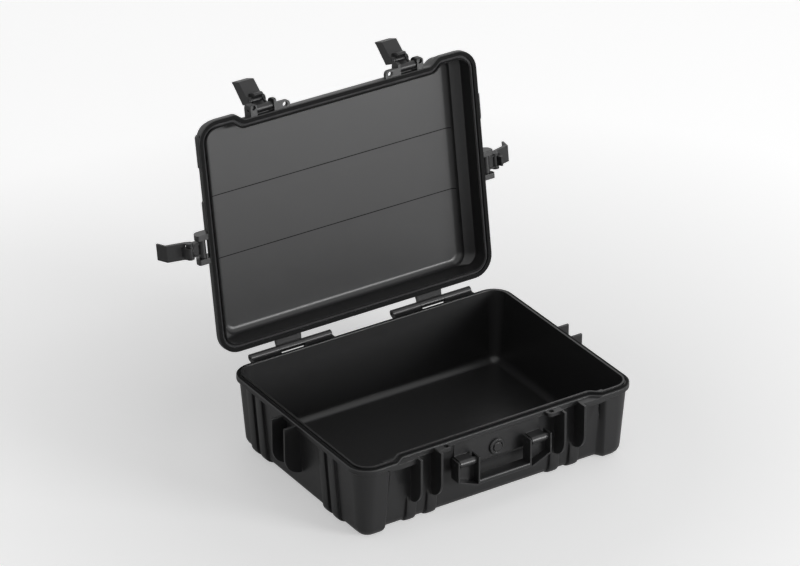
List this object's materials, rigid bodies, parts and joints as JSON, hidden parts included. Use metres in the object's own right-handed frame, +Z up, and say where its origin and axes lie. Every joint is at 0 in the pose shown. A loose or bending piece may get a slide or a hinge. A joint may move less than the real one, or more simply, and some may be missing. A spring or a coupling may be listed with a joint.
{
  "type": "medical equipment case",
  "caption": "Hard-shell medical equipment case, lid standing open on rear hinges, with draw latches, guard fins, padlock tabs, a fold-down carrying handle and a pressure valve.",
  "frame": {"origin": "middle of the flat underside of the base, on the floor", "axes": "+X to the right seen from the front, -Y towards the front with the handle, +Z up; the lid is stored open"},
  "size_m": [0.7096, 0.6066, 0.5931],
  "materials": {
    "shell": "satin moulded black",
    "latches": "satin moulded black",
    "handle": "satin moulded black",
    "valve": "satin moulded black",
    "pins": "blackened steel",
    "seals": "matt black elastomer"
  },
  "bodies": {
    "base": {"base_shell": "shell", "hinge_pin_left": "pins", "hinge_pin_right": "pins", "handle_pin_left": "pins", "handle_pin_right": "pins", "valve_body": "valve", "valve_seal": "seals"},
    "lid": {"lid_shell": "shell", "lid_gasket": "seals", "latch_fl_upper_pin": "pins", "latch_fr_upper_pin": "pins", "latch_sl_upper_pin": "pins", "latch_sr_upper_pin": "pins"},
    "link_front_left": {"latch_fl_link": "latches", "latch_fl_lower_pin": "pins"},
    "lever_front_left": {"latch_fl_lever": "latches"},
    "link_front_right": {"latch_fr_link": "latches", "latch_fr_lower_pin": "pins"},
    "lever_front_right": {"latch_fr_lever": "latches"},
    "link_side_left": {"latch_sl_link": "latches", "latch_sl_lower_pin": "pins"},
    "lever_side_left": {"latch_sl_lever": "latches"},
    "link_side_right": {"latch_sr_link": "latches", "latch_sr_lower_pin": "pins"},
    "lever_side_right": {"latch_sr_lever": "latches"},
    "handle": {"handle": "handle"},
    "valve_knob": {"valve_knob": "valve"}
  },
  "joints": [
    {"name": "lid_hinge", "type": "hinge", "parent": "base", "child": "lid", "pos_m": [0, 0.227, 0.1384], "axis": [-1, 0, 0], "range_deg": [-98.66, 0]},
    {"name": "latch_link_front_left", "type": "hinge", "parent": "lid", "child": "link_front_left", "pos_m": [-0.1443, 0.3048, 0.56556], "axis": [-1, 0, 0], "range_deg": [-157, 0]},
    {"name": "latch_lever_front_left", "type": "hinge", "parent": "link_front_left", "child": "lever_front_left", "pos_m": [-0.1443, 0.32612, 0.571], "axis": [1, 0, 0], "range_deg": [-57, 0]},
    {"name": "latch_link_front_right", "type": "hinge", "parent": "lid", "child": "link_front_right", "pos_m": [0.1443, 0.3048, 0.56556], "axis": [-1, 0, 0], "range_deg": [-157, 0]},
    {"name": "latch_lever_front_right", "type": "hinge", "parent": "link_front_right", "child": "lever_front_right", "pos_m": [0.1443, 0.32612, 0.571], "axis": [1, 0, 0], "range_deg": [-57, 0]},
    {"name": "latch_link_side_left", "type": "hinge", "parent": "lid", "child": "link_side_left", "pos_m": [-0.289, 0.27198, 0.35004], "axis": [0, -0.1506, -0.9886], "range_deg": [-100, 57]},
    {"name": "latch_lever_side_left", "type": "hinge", "parent": "link_side_left", "child": "lever_side_left", "pos_m": [-0.31067, 0.27576, 0.34947], "axis": [0, 0.1506, 0.9886], "range_deg": [-68, 7]},
    {"name": "latch_link_side_right", "type": "hinge", "parent": "lid", "child": "link_side_right", "pos_m": [0.289, 0.27198, 0.35004], "axis": [0, 0.1506, 0.9886], "range_deg": [-100, 57]},
    {"name": "latch_lever_side_right", "type": "hinge", "parent": "link_side_right", "child": "lever_side_right", "pos_m": [0.31067, 0.27576, 0.34947], "axis": [0, -0.1506, -0.9886], "range_deg": [-68, 7]},
    {"name": "handle_swing", "type": "hinge", "parent": "base", "child": "handle", "pos_m": [0, -0.213, 0.1], "axis": [-1, 0, 0], "range_deg": [0, 90]},
    {"name": "valve_turn", "type": "hinge", "parent": "base", "child": "valve_knob", "pos_m": [0, -0.197, 0.101], "axis": [0, -1, 0], "range_deg": [0, 90]}
  ]
}
